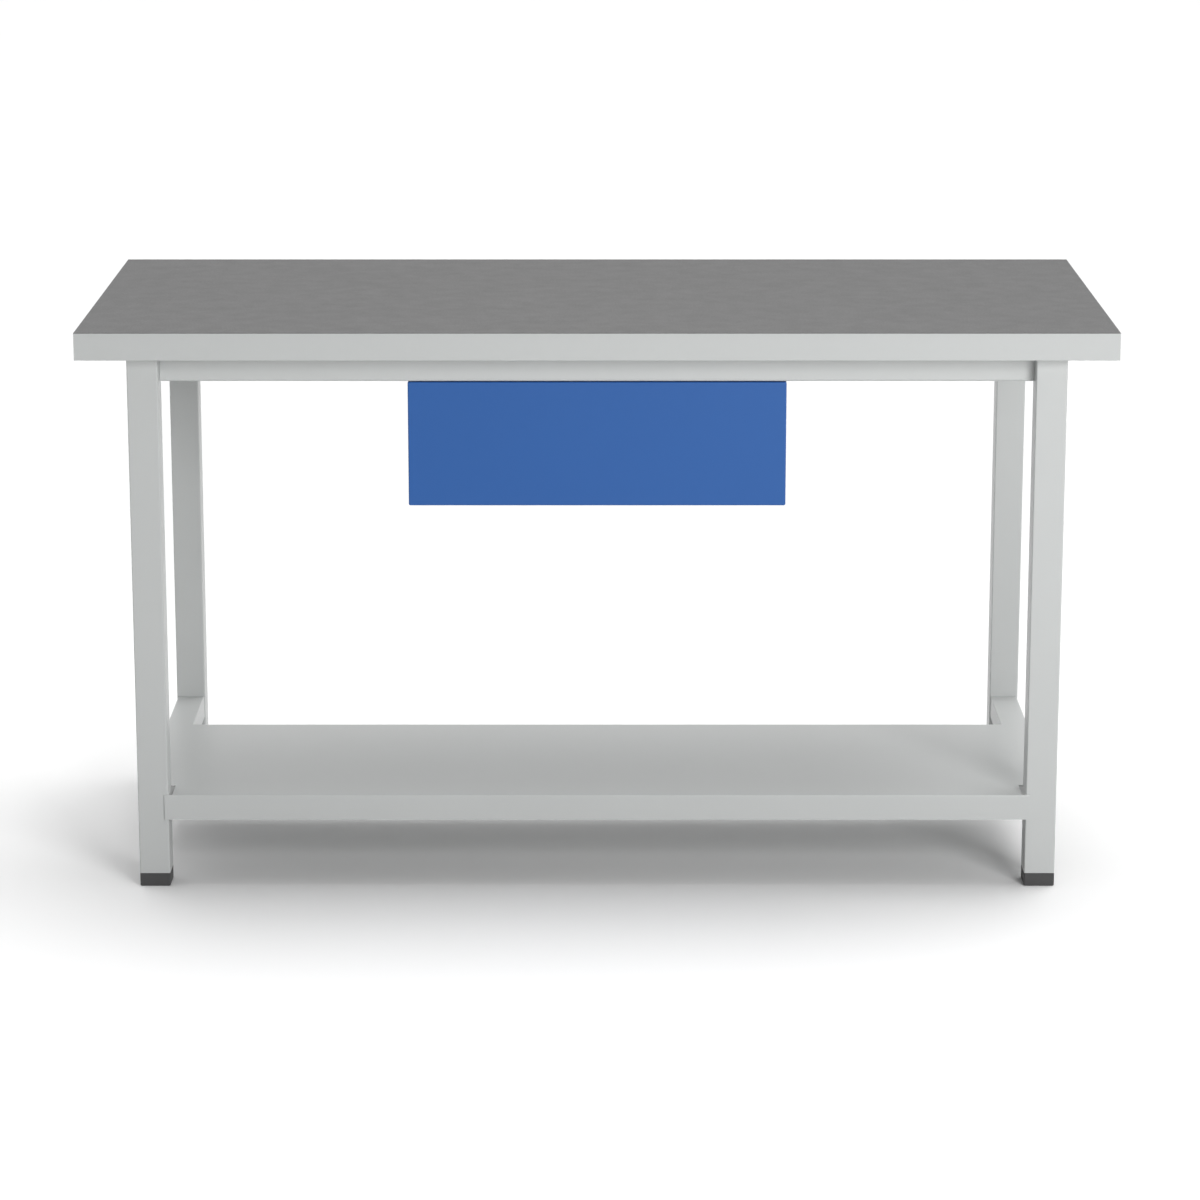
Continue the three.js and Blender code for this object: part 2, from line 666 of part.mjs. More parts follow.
function tubBack() {
  const outerX = tubInnerX - JOINT_GAP;
  const rear = TUB_REAR - TUB_BACK_INSET;
  const face = rear - TUB_BACK_FLANGE;
  const path = [[-outerX, rear], [-outerX, face], [outerX, face], [outerX, rear]];
  const bottom = TUB_BOTTOM + TUB_SHEET + JOINT_GAP;
  return extrude(foldedSheet(path, TUB_SHEET), TUB_TOP - bottom)
    .translate(0, 0, (TUB_TOP + bottom) / 2);
}

place('drawer_tub', tub(), 'greyCoat');
place('drawer_back', tubBack(), 'greyCoat');

// Buffers behind the inner front, which meet the hangers' front edges
for (const side of SIDES) {
  const thickness = HANGER_FRONT - innerFrontRear - JOINT_GAP;
  const x = side.sign * (hangerInnerX + HANGER_SHEET / 2);
  const buffer = rod(BUFFER_DIAMETER, thickness).rotateX(Math.PI / 2);
  place(`drawer_buffer_${side.name}`, buffer, 'rubber', x, innerFrontRear + thickness / 2, BUFFER_Z);
}

export default table;
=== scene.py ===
import json
import math

import bmesh
import bpy
from mathutils import Matrix, Vector


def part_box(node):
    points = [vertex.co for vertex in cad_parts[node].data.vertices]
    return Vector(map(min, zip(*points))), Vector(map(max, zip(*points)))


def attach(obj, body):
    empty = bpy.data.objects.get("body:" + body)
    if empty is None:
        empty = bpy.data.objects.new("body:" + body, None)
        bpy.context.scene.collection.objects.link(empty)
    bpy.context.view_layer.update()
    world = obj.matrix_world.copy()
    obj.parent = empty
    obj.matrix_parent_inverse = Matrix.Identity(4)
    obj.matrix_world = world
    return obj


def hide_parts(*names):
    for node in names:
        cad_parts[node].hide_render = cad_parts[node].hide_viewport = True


# The looks of a steel assembly table: coated tubes and folded sheets, a laminated board with edge
# bands, a blue drawer on ball slides. Metres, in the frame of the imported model: X along the table,
# -Y the front, +Z up.
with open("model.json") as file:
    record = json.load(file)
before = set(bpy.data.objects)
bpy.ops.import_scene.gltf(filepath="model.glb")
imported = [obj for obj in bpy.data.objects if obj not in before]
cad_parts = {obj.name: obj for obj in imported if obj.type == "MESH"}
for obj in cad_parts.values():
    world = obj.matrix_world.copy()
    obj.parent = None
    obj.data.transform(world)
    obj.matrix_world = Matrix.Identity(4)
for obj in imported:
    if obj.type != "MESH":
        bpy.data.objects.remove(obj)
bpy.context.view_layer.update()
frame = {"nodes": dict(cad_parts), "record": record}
MM = 0.001

# Camera: in front of the table, above the board, looking down
CAMERA_PLACE = (4.2 * MM, -6.090, 1.819)
CAMERA_TILT_DOWN = 13.44
CAMERA_LENS = 121.8
CAMERA_SENSOR = 36.0

# Studio: the floor as it looks and as it throws light back, the room's light by direction, two lamps
WHITE = (1, 1, 1, 1)
FLOOR_SIZE = 60.0
FLOOR_COLOUR = (0.96, 0.96, 0.96, 1)
FLOOR_BOUNCE = (0.55, 0.55, 0.55, 1)
ROOM_LEVEL = 0.14
ROOM_FROM_ABOVE = 0.62
ROOM_FROM_BEHIND = 0.50
ROOM_FROM_RIGHT = 0.06
KEY_FROM = (0.12, 0.28, 1.0)
KEY_SPREAD = 50.0
KEY_STRENGTH = 1.6
FILL_PLACE = (2.4, -5.0, 2.0)
FILL_AIM = (0.0, 0.0, 0.5)
FILL_SIZE = 2.0
FILL_POWER = 185.0

# Finishes: relief, wear, painted edge highlights and dust that several materials share
NOISE_SPAN = (0.2, 0.8)
COAT_GRAINS_PER_METRE = 620.0
COAT_DRIFT = 0.035
COAT_POLISH = 0.12
COAT_RELIEF = 0.25
COAT_RELIEF_DEPTH = 0.12 * MM
SPECKLE_POLISH = 0.1
SPECKLE_RELIEF_DEPTH = 0.15 * MM
DUST_COLOUR = (0.52, 0.51, 0.49, 1)
DUST_MATT = 0.3
EDGE_MASK_SAMPLES = 4

# Board
SURFACE_EASE = 0.3 * MM
BAND_EASE = 0.5 * MM
EASE_STEPS = 3

# Tubes and folded sheets
TUBE_WALL = 2 * MM
TUBE_CORNER = 2 * MM
TUBE_INNER_CORNER = 0.8 * MM
RAIL_SHEET = 2 * MM
RAIL_BEND = 1.5 * MM
SHELF_SHEET = 1.5 * MM
SHELF_BEND = 1.2 * MM
HANGER_SHEET = 1.5 * MM
HANGER_BEND = 1.2 * MM
HANGER_FOOT = 16 * MM
TUB_SHEET = 1 * MM
TUB_BEND = 1 * MM
TUB_BACK_PLAY = 0.25 * MM
BEND_STEPS = 5
CORNER_STEPS = 6
CUT_EDGE = 0.25 * MM
CUT_EDGE_STEPS = 2
SHARP_ANGLE = math.radians(40)
FLAT_ANGLE = math.radians(1)
FLAT_FACE_WEIGHT = 80
WELD_DISTANCE = 0.002 * MM

# Shelf cut-outs: the gaps that it leaves at the front legs, and how far its lips run
LEG_SIDE_GAP = 6 * MM
LEG_REAR_GAP = 5 * MM
LEG_FRONT_GAP = 0.55 * MM
LIP_OVER_LEG = 6 * MM
REAR_LIP_END_GAP = 2.5 * MM
CUT_MARGIN = 5 * MM

# Drawer front: a pan with rounded bends, returns at the rear and an open lower edge
PAN_SHEET = 1.5 * MM
PAN_BEND = 2.2 * MM
PAN_CORNER = 2.5 * MM
PAN_SIDE_RETURN = 20 * MM
PAN_TOP_RETURN = 12 * MM

# Ball slides: folded members, strips that cage the balls, access holes in the middle member
SLIDE_SHEET = 1.25 * MM
SLIDE_BEND = 0.7 * MM
OUTER_LIP = 2.75 * MM
CAGE_SHEET = 0.5 * MM
CAGE_BEND = 0.4 * MM
BALLS_PER_ROW = 6
BALL_DIAMETERS = {"outer": 3 * MM, "inner": 3.5 * MM}
BALL_SIDES = 20
BALL_RINGS = 10
FIXING_SHARES = (0.08, 0.36, 0.64, 0.92)
ACCESS_HOLE_RADIUS = 5 * MM

# Feet
FOOT_CORNER = 2 * MM
FOOT_CHAMFER = 1.2 * MM
FOOT_HOLLOW_RIM = 5 * MM
FOOT_HOLLOW_DEPTH = 2 * MM
FOOT_SHOULDER = 0.6 * MM
SPIGOT_INSET = 2.5 * MM

# Screws, bolts, rivets and buffers. A dome is a list of shares of its height and of its radius.
TURNED_SIDES = 36
BOARD_SCREW = {
    "head_radius": 4.5 * MM, "head_height": 3 * MM, "shank_radius": 2.2 * MM, "length": 22 * MM,
}
FRONT_SCREW = {
    "head_radius": 4 * MM, "head_height": 2.5 * MM, "shank_radius": 1.9 * MM, "length": 10 * MM,
}
SCREW_DOME = ((1, 0.62), (0.88, 0.82), (0.62, 0.96), (0.35, 1), (0, 1))
SCREW_POINT = 0.15
RECESS_RADIUS = 0.40
RECESS_LOBES = 6
RECESS_WAVE = 0.14
RECESS_DEPTH = 0.55
RECESS_DRAFT = 0.9
RAIL_BOLT = {"head_height": 5.5 * MM, "shank_radius": 4 * MM, "length": 16 * MM}
BOLT_FLAT = 13 * MM
BOLT_CHAMFER = 0.7 * MM
BOLT_CROWN = 0.93
BOLT_NECK = 1.15
BOLT_FLANGE = 16 * MM
BOLT_FLANGE_HEIGHT = 1.5 * MM
FLANGE_DOME = ((1, 0.965), (0.5, 1), (0, 1))
RIVET_RADIUS = 3.2 * MM
RIVET_HEIGHT = 0.9 * MM
RIVET_DOME = ((0, 1), (0.4, 0.95), (0.8, 0.72), (1, 0.42), (0.7, 0.34))
BUFFER_DOME = ((0, 0.55), (0.06, 0.72), (0.25, 0.9), (0.5, 0.97), (0.85, 1), (1, 1))

# Welds
BEAD_SIZE = 3 * MM
BEAD_PITCH = 2.2 * MM
BEAD_STEPS_PER_RIPPLE = 4
BEAD_RIPPLE = 0.14
BEAD_ARC_STEPS = 4
BEAD_END = 3 * MM
BEAD_TIP = 0.35
BEAD_TAPER = 6

SIDES = {"left": -1, "right": 1}
ENDS = {"front": -1, "rear": 1}


# Node trees

def put(tree, kind, inputs=None, **settings):
    """Adds a node; an input is a value, or a socket that is linked to it."""
    made = tree.nodes.new(kind)
    for key, value in settings.items():
        setattr(made, key, value)
    for key, value in (inputs or {}).items():
        if isinstance(value, bpy.types.NodeSocket):
            tree.links.new(value, made.inputs[key])
        else:
            made.inputs[key].default_value = value
    return made


def math_node(tree, operation, first, second):
    return put(tree, "ShaderNodeMath", {0: first, 1: second}, operation=operation).outputs[0]


def total(tree, first, *others):
    for other in others:
        first = math_node(tree, "ADD", first, other)
    return first


def product(tree, first, *others):
    for other in others:
        first = math_node(tree, "MULTIPLY", first, other)
    return first


def swing(tree, noise_value, amount):
    """A noise made to swing about zero."""
    return product(tree, math_node(tree, "SUBTRACT", noise_value, 0.5), amount)


def surface_place(tree):
    return put(tree, "ShaderNodeTexCoord").outputs["Object"]


def surface_normal(tree):
    return put(tree, "ShaderNodeNewGeometry").outputs["Normal"]


def stretched(tree, scale):
    return put(tree, "ShaderNodeMapping", {"Vector": surface_place(tree), "Scale": scale}).outputs[0]


def noise(tree, place, scale, detail=2.0, roughness=0.5):
    values = {"Vector": place, "Scale": scale, "Detail": detail, "Roughness": roughness}
    return put(tree, "ShaderNodeTexNoise", values).outputs["Fac"]


def between(tree, value, span, to_span=(0, 1)):
    """A value carried from one span to another."""
    values = {"Value": value, "From Min": span[0], "From Max": span[1], "To Min": to_span[0],
              "To Max": to_span[1]}
    return put(tree, "ShaderNodeMapRange", values).outputs["Result"]


def times(tree, colour, factor):
    """A colour made lighter or darker by a factor."""
    grey = put(tree, "ShaderNodeCombineColor", {0: factor, 1: factor, 2: factor}).outputs[0]
    inputs = {0: 1.0, 6: colour, 7: grey}
    return put(tree, "ShaderNodeMix", inputs, data_type="RGBA", blend_type="MULTIPLY").outputs[2]


def mixed(tree, mask, first, second):
    """One colour laid over another by a mask."""
    return put(tree, "ShaderNodeMix", {0: mask, 6: first, 7: second}, data_type="RGBA").outputs[2]


def first_channel(tree, colour):
    return put(tree, "ShaderNodeSeparateColor", {0: colour}).outputs[0]


# Effects that several finishes share

FLOAT = "NodeSocketFloat"
COLOUR = "NodeSocketColor"


def new_group(name, inputs, outputs):
    """An empty shader group with named sockets: what it is given, and what it gives."""
    group = bpy.data.node_groups.new(name, "ShaderNodeTree")
    for label, kind, value in inputs:
        socket = group.interface.new_socket(label, in_out="INPUT", socket_type=kind)
        socket.default_value = value
    for label, kind in outputs:
        group.interface.new_socket(label, in_out="OUTPUT", socket_type=kind)
    given = group.nodes.new("NodeGroupInput").outputs
    gives = group.nodes.new("NodeGroupOutput").inputs
    return group, given, gives


def make_coat_grain():
    """The fine orange peel of a baked powder coat, with a slow drift of its shade."""
    pores_per_grain = 3.7
    clouds_per_metre = 5.0
    pore_shade = 0.10
    pore_height = 0.35
    inputs = [("Colour", COLOUR, WHITE), ("Grain per Metre", FLOAT, 700.0), ("Drift", FLOAT, 0.03),
              ("Roughness", FLOAT, 0.45), ("Roughness Spread", FLOAT, 0.08)]
    outputs = [("Colour", COLOUR), ("Roughness", FLOAT), ("Height", FLOAT)]
    group, given, gives = new_group("coat_grain", inputs, outputs)
    place = surface_place(group)
    pores_per_metre = product(group, given["Grain per Metre"], pores_per_grain)
    peel = noise(group, place, given["Grain per Metre"], roughness=0.45)
    pores = noise(group, place, pores_per_metre, detail=1.0)
    cloud = noise(group, place, clouds_per_metre, detail=3.0, roughness=0.6)
    shade = total(group, swing(group, cloud, given["Drift"]), swing(group, pores, pore_shade), 1.0)
    rough = total(group, given["Roughness"], swing(group, peel, given["Roughness Spread"]))
    height = total(group, peel, product(group, pores, pore_height))
    group.links.new(times(group, given["Colour"], shade), gives["Colour"])
    group.links.new(rough, gives["Roughness"])
    group.links.new(height, gives["Height"])
    return group


def make_edge_rub_and_highlight():
    """A mask of the rounded edges, broken up by a noise: edge wear, and a painted highlight along the
    bends.
    """
    flat_to_bent = (0.995, 0.80)
    spared_to_lightened = (0.38, 0.66)
    inputs = [("Width", FLOAT, 0.8 * MM), ("Breakup per Metre", FLOAT, 90.0), ("Amount", FLOAT, 1.0)]
    group, given, gives = new_group("edge_rub_and_highlight", inputs, [("Mask", FLOAT)])
    rounded = put(group, "ShaderNodeBevel", {"Radius": given["Width"]}, samples=EDGE_MASK_SAMPLES).outputs[0]
    normals = {0: rounded, 1: surface_normal(group)}
    agreement = put(group, "ShaderNodeVectorMath", normals, operation="DOT_PRODUCT").outputs["Value"]
    bend = between(group, agreement, flat_to_bent)
    breakup = noise(group, surface_place(group), given["Breakup per Metre"], detail=4.0, roughness=0.6)
    patches = between(group, breakup, spared_to_lightened)
    group.links.new(product(group, bend, patches, given["Amount"]), gives["Mask"])
    return group


def make_settled_dust():
    """A thin film of dust on faces that look up."""
    sloped_to_level = (0.6, 1.0)
    clear_to_dusty = (0.35, 0.75)
    inputs = [("Amount", FLOAT, 0.1), ("Patch per Metre", FLOAT, 14.0)]
    group, given, gives = new_group("settled_dust", inputs, [("Mask", FLOAT)])
    rise = put(group, "ShaderNodeSeparateXYZ", {0: surface_normal(group)}).outputs["Z"]
    upward = between(group, rise, sloped_to_level)
    drifts = noise(group, surface_place(group), given["Patch per Metre"], detail=5.0, roughness=0.65)
    patches = between(group, drifts, clear_to_dusty)
    group.links.new(product(group, upward, patches, given["Amount"]), gives["Mask"])
    return group


def make_fine_speckle():
    """Small light and dark grains, as in a laminate print, a moulded plastic or rubber."""
    mottles_per_grain = 0.08
    mottle_contrast = 0.35
    inputs = [("Colour", COLOUR, WHITE), ("Grains per Metre", FLOAT, 800.0), ("Contrast", FLOAT, 0.3),
              ("Roughness", FLOAT, 0.6), ("Roughness Spread", FLOAT, 0.1)]
    outputs = [("Colour", COLOUR), ("Roughness", FLOAT), ("Height", FLOAT)]
    group, given, gives = new_group("fine_speckle", inputs, outputs)
    place = surface_place(group)
    mottles_per_metre = product(group, given["Grains per Metre"], mottles_per_grain)
    grains = noise(group, place, given["Grains per Metre"], detail=3.0, roughness=0.7)
    mottle = noise(group, place, mottles_per_metre, detail=3.0)
    slow = swing(group, mottle, product(group, given["Contrast"], mottle_contrast))
    shade = total(group, swing(group, grains, given["Contrast"]), slow, 1.0)
    rough = total(group, given["Roughness"], swing(group, grains, given["Roughness Spread"]))
    group.links.new(times(group, given["Colour"], shade), gives["Colour"])
    group.links.new(rough, gives["Roughness"])
    group.links.new(grains, gives["Height"])
    return group


COAT_GRAIN = make_coat_grain()
EDGE_RUB_AND_HIGHLIGHT = make_edge_rub_and_highlight()
SETTLED_DUST = make_settled_dust()
FINE_SPECKLE = make_fine_speckle()


# Finishes

def new_material(name):
    material = bpy.data.materials.new(name)
    material.use_nodes = True
    tree = material.node_tree
    return material, tree, tree.nodes["Principled BSDF"]


def use(tree, group, **values):
    inputs = {label.replace("_", " "): value for label, value in values.items()}
    return put(tree, "ShaderNodeGroup", inputs, node_tree=group).outputs


def bump(tree, height, strength, depth):
    values = {"Height": height, "Strength": strength, "Distance": depth}
    return put(tree, "ShaderNodeBump", values).outputs["Normal"]


def worn_highlit_and_dusty(tree, colour, worn_and_highlight_colour, rub_and_highlight_amount, dust):
    """The colour with edges made lighter, as wear and as a painted highlight, under a film of dust, and
    the masks of both.
    """
    rub_and_highlight_mask = use(tree, EDGE_RUB_AND_HIGHLIGHT, Amount=rub_and_highlight_amount)["Mask"]
    film = use(tree, SETTLED_DUST, Amount=dust)["Mask"]
    # Edges painted lighter: part wear, part a painted highlight along the bends.
    worn_and_highlit = mixed(tree, rub_and_highlight_mask, colour, worn_and_highlight_colour)
    return mixed(tree, film, worn_and_highlit, DUST_COLOUR), rub_and_highlight_mask, film


def make_coat(name, colour, worn_and_highlight_colour, roughness, gloss, rub_and_highlight_amount, dust):
    """A powder coat: fine grain, edges smoother and painted a little lighter as wear and as a painted
    highlight, a film of dust on top.
    """
    material, tree, shader = new_material(name)
    shader.inputs["Specular IOR Level"].default_value = gloss
    grain = use(tree, COAT_GRAIN, Colour=colour, Roughness=roughness, Drift=COAT_DRIFT,
                Grain_per_Metre=COAT_GRAINS_PER_METRE)
    surface, rub_and_highlight_mask, film = worn_highlit_and_dusty(tree, grain["Colour"], worn_and_highlight_colour, rub_and_highlight_amount, dust)
    polish = product(tree, rub_and_highlight_mask, -COAT_POLISH)
    matt = product(tree, film, DUST_MATT)
    relief = bump(tree, grain["Height"], COAT_RELIEF, COAT_RELIEF_DEPTH)
    tree.links.new(surface, shader.inputs["Base Color"])
    tree.links.new(total(tree, grain["Roughness"], polish, matt), shader.inputs["Roughness"])
    tree.links.new(relief, shader.inputs["Normal"])
    return material


def make_speckled(name, colour, worn_and_highlight_colour, grains, contrast, roughness, gloss, relief, rub_and_highlight_amount, dust):
    """Laminate, plastic or rubber: fine grains in the colour and in the surface."""
    material, tree, shader = new_material(name)
    shader.inputs["Specular IOR Level"].default_value = gloss
    speckle = use(tree, FINE_SPECKLE, Colour=colour, Grains_per_Metre=grains, Contrast=contrast,
                  Roughness=roughness)
    # Edges made lighter by the shared edge mask: wear, and a painted highlight.
    surface, rub_and_highlight_mask, film = worn_highlit_and_dusty(tree, speckle["Colour"], worn_and_highlight_colour, rub_and_highlight_amount, dust)
    polish = product(tree, rub_and_highlight_mask, -SPECKLE_POLISH)
    normal = bump(tree, speckle["Height"], relief, SPECKLE_RELIEF_DEPTH)
    tree.links.new(surface, shader.inputs["Base Color"])
    tree.links.new(total(tree, speckle["Roughness"], polish), shader.inputs["Roughness"])
    tree.links.new(normal, shader.inputs["Normal"])
    return material


def make_zinc_plate():
    """Zinc-plated steel: faint crystal patches, drawing lines along Y and a blue-grey cast."""
    dull_zinc = (0.60, 0.62, 0.64, 1)
    bright_zinc = (0.68, 0.695, 0.71, 1)
    rubbed_and_highlit_zinc = (0.80, 0.80, 0.80, 1)
    along_drawing = (1.0, 0.02, 1.0)
    lines_per_metre = 2600.0
    patches_per_metre = 160.0
    line_shades = (0.92, 1.06)
    line_roughness = (0.26, 0.40)
    patch_roughness = 0.08
    line_relief = 0.08
    line_depth = 0.05 * MM
    material, tree, shader = new_material("zinc_plate")
    lines = noise(tree, stretched(tree, along_drawing), lines_per_metre, detail=3.0, roughness=0.6)
    crystals = {"Vector": surface_place(tree), "Scale": patches_per_metre}
    patch = first_channel(tree, put(tree, "ShaderNodeTexVoronoi", crystals).outputs["Color"])
    tone = mixed(tree, patch, dull_zinc, bright_zinc)
    shaded = times(tree, tone, between(tree, lines, NOISE_SPAN, line_shades))
    # Edges made lighter by the shared edge mask: wear, and a painted highlight.
    rub_and_highlight_mask = use(tree, EDGE_RUB_AND_HIGHLIGHT, Width=0.4 * MM, Amount=0.6)["Mask"]
    rough = total(tree, between(tree, lines, NOISE_SPAN, line_roughness),
                  product(tree, patch, patch_roughness))
    shader.inputs["Metallic"].default_value = 1.0
    tree.links.new(mixed(tree, rub_and_highlight_mask, shaded, rubbed_and_highlit_zinc), shader.inputs["Base Color"])
    tree.links.new(rough, shader.inputs["Roughness"])
    tree.links.new(bump(tree, lines, line_relief, line_depth), shader.inputs["Normal"])
    return material


def make_chipboard():
    """Pressed wood chips, seen only where a screw goes in."""
    dark_wood = (0.30, 0.19, 0.09, 1)
    pale_wood = (0.60, 0.43, 0.24, 1)
    chip_shape = (0.4, 0.7, 1.6)
    chips_per_metre = 420.0
    fibres_per_metre = 2400.0
    chip_share = 0.7
    fibre_share = 0.3
    fibre_roughness = (0.78, 0.95)
    chip_relief = 0.5
    chip_depth = 0.4 * MM
    material, tree, shader = new_material("chipboard")
    flattened = stretched(tree, chip_shape)
    chips = put(tree, "ShaderNodeTexVoronoi", {"Vector": flattened, "Scale": chips_per_metre}).outputs
    fibre = noise(tree, flattened, fibres_per_metre, detail=4.0, roughness=0.7)
    tone = product(tree, first_channel(tree, chips["Color"]), chip_share)
    blend = total(tree, tone, product(tree, fibre, fibre_share))
    tree.links.new(mixed(tree, blend, dark_wood, pale_wood), shader.inputs["Base Color"])
    tree.links.new(between(tree, fibre, NOISE_SPAN, fibre_roughness), shader.inputs["Roughness"])
    tree.links.new(bump(tree, chips["Distance"], chip_relief, chip_depth), shader.inputs["Normal"])
    return material


MATERIALS = {
    # The lighter edge colour of the grey coat is partly wear, partly a painted highlight along the bends.
    "grey_coat": make_coat(
        "light_grey_coat", colour=(0.565, 0.58, 0.575, 1), worn_and_highlight_colour=(0.68, 0.69, 0.69, 1),
        roughness=0.38, gloss=0.5, rub_and_highlight_amount=0.35, dust=0.03,
    ),
    # The lighter edge colour of the blue coat is a painted highlight along the bends, with some wear.
    "blue_coat": make_coat(
        "blue_coat", colour=(0.021, 0.110, 0.372, 1), worn_and_highlight_colour=(0.10, 0.22, 0.50, 1),
        roughness=0.42, gloss=0.35, rub_and_highlight_amount=0.45, dust=0.03,
    ),
    "worktop_laminate": make_speckled(
        "grey_laminate", colour=(0.165, 0.165, 0.165, 1), worn_and_highlight_colour=(0.235, 0.235, 0.235, 1),
        grains=420.0, contrast=0.75, roughness=0.75, gloss=0.1, relief=0.18, rub_and_highlight_amount=0.4, dust=0.015,
    ),
    "edge_band": make_speckled(
        "edge_band", colour=(0.55, 0.565, 0.56, 1), worn_and_highlight_colour=(0.64, 0.65, 0.65, 1),
        grains=1300.0, contrast=0.06, roughness=0.44, gloss=0.4, relief=0.10, rub_and_highlight_amount=0.4, dust=0.02,
    ),
    "board_backing": make_speckled(
        "board_backing", colour=(0.40, 0.40, 0.385, 1), worn_and_highlight_colour=(0.46, 0.45, 0.43, 1),
        grains=420.0, contrast=0.22, roughness=0.68, gloss=0.3, relief=0.12, rub_and_highlight_amount=0.3, dust=0.0,
    ),
    "foot_plastic": make_speckled(
        "foot_plastic", colour=(0.062, 0.062, 0.063, 1), worn_and_highlight_colour=(0.12, 0.12, 0.12, 1),
        grains=1100.0, contrast=0.35, roughness=0.62, gloss=0.4, relief=0.45, rub_and_highlight_amount=0.6, dust=0.08,
    ),
    "buffer_rubber": make_speckled(
        "buffer_rubber", colour=(0.022, 0.022, 0.022, 1), worn_and_highlight_colour=(0.05, 0.05, 0.05, 1),
        grains=1600.0, contrast=0.3, roughness=0.8, gloss=0.3, relief=0.4, rub_and_highlight_amount=0.5, dust=0.05,
    ),
    "board_core": make_chipboard(),
    "zinc_steel": make_zinc_plate(),
}


# Sections

def along_x(u, v, along):
    return Vector((along, u, v))


def along_y(u, v, along):
    return Vector((u, along, v))


def along_z(u, v, along):
    return Vector((u, v, along))


def quarter_turn(steps):
    return [step / steps * math.pi / 2 for step in range(steps + 1)]


def rounded_rectangle(left, right, bottom, top, radius):
    """The points of a rectangle with round corners, anticlockwise."""
    centres = [(right - radius, top - radius), (left + radius, top - radius),
               (left + radius, bottom + radius), (right - radius, bottom + radius)]
    points = []
    for quarter, (u, v) in enumerate(centres):
        for step in range(CORNER_STEPS + 1):
            angle = (quarter + step / CORNER_STEPS) * math.pi / 2
            points.append((u + radius * math.cos(angle), v + radius * math.sin(angle)))
    return points


def left_of(direction):
    return Vector((-direction.y, direction.x))


def bent_section(path, sheet, inside_radius):
    """The section of a folded sheet with round bends: the path is one face, the sheet lies to its left."""
    points = [Vector(point) for point in path]
    runs = [(after - before).normalized() for before, after in zip(points, points[1:])]
    middle = []
    for index, point in enumerate(points):
        before = left_of(runs[max(index - 1, 0)])
        after = left_of(runs[min(index, len(runs) - 1)])
        middle.append(point + (before + after) * (sheet / 2 / (1 + before.dot(after))))
    radius = inside_radius + sheet / 2
    spine = [(middle[0], left_of(runs[0]))]
    for point, run_in, run_out in zip(middle[1:], runs, runs[1:]):
        turn = math.atan2(run_in.x * run_out.y - run_in.y * run_out.x, run_in.dot(run_out))
        side = math.copysign(1.0, turn)
        start = point - run_in * (radius * math.tan(abs(turn) / 2))
        centre = start + left_of(run_in) * (side * radius)
        for step in range(BEND_STEPS + 1):
            normal = left_of(run_in)
            normal.rotate(Matrix.Rotation(turn * step / BEND_STEPS, 2))
            spine.append((centre - normal * (side * radius), normal))
    spine.append((middle[-1], left_of(runs[-1])))
    right_face = [point - normal * (sheet / 2) for point, normal in spine]
    left_face = [point + normal * (sheet / 2) for point, normal in spine]
    return right_face + left_face[::-1]


# Meshes

def bridge(mesh, near, far):
    for index in range(len(near)):
        after = (index + 1) % len(near)
        mesh.faces.new((near[index], near[after], far[after], far[index]))


def lofted(rings):
    """A closed skin over rings of equal count, capped at both ends."""
    mesh = bmesh.new()
    loops = [[mesh.verts.new(point) for point in ring] for ring in rings]
    for near, far in zip(loops, loops[1:]):
        bridge(mesh, near, far)
    mesh.faces.new(loops[0][::-1])
    mesh.faces.new(loops[-1])
    bmesh.ops.remove_doubles(mesh, verts=mesh.verts, dist=WELD_DISTANCE)
    bmesh.ops.recalc_face_normals(mesh, faces=mesh.faces)
    return mesh


def extruded(section, start, end, to_space):
    return lofted([[to_space(u, v, along) for u, v in section] for along in (start, end)])


def square_tube(outside, start, end, to_space):
    """A tube with rounded corners, open at both ends."""
    left, right, bottom, top = outside
    inside = (left + TUBE_WALL, right - TUBE_WALL, bottom + TUBE_WALL, top - TUBE_WALL)
    outer = rounded_rectangle(*outside, TUBE_CORNER)
    inner = rounded_rectangle(*inside, TUBE_INNER_CORNER)
    mesh = bmesh.new()
    loops = []
    for section, along in ((outer, start), (outer, end), (inner, end), (inner, start)):
        loops.append([mesh.verts.new(to_space(u, v, along)) for u, v in section])
    for index, near in enumerate(loops):
        bridge(mesh, near, loops[(index + 1) % len(loops)])
    bmesh.ops.recalc_face_normals(mesh, faces=mesh.faces)
    return mesh


def block(low, high):
    mesh = bmesh.new()
    bmesh.ops.create_cube(mesh, size=1.0)
    bmesh.ops.scale(mesh, vec=Vector(high) - Vector(low), verts=mesh.verts)
    bmesh.ops.translate(mesh, vec=(Vector(low) + Vector(high)) / 2, verts=mesh.verts)
    return mesh


def eased_block(low, high, ease):
    """A slab with its edges eased to a small round."""
    mesh = block(low, high)
    bmesh.ops.bevel(
        mesh, geom=mesh.edges[:], offset=ease, segments=EASE_STEPS, profile=0.5, affect="EDGES",
    )
    return mesh


def spun(profile, seat, axis):
    """A body turned about an axis, from heights and radii; a radius may depend on the angle."""
    turn = Vector((0, 0, 1)).rotation_difference(Vector(axis)).to_matrix()
    rings = []
    for height, radius in profile:
        ring = []
        for index in range(TURNED_SIDES):
            angle = 2 * math.pi * index / TURNED_SIDES
            reach = radius(angle) if callable(radius) else radius
            point = Vector((reach * math.cos(angle), reach * math.sin(angle), height))
            ring.append(Vector(seat) + turn @ point)
        rings.append(ring)
    return lofted(rings)


def joined(meshes):
    """Several closed bodies in one mesh."""
    whole = bmesh.new()
    for part in meshes:
        data = bpy.data.meshes.new("part")
        part.to_mesh(data)
        part.free()
        whole.from_mesh(data)
        bpy.data.meshes.remove(data)
    return whole


def mesh_object(name, mesh):
    data = bpy.data.meshes.new(name)
    mesh.to_mesh(data)
    mesh.free()
    made = bpy.data.objects.new(name, data)
    bpy.context.scene.collection.objects.link(made)
    return made


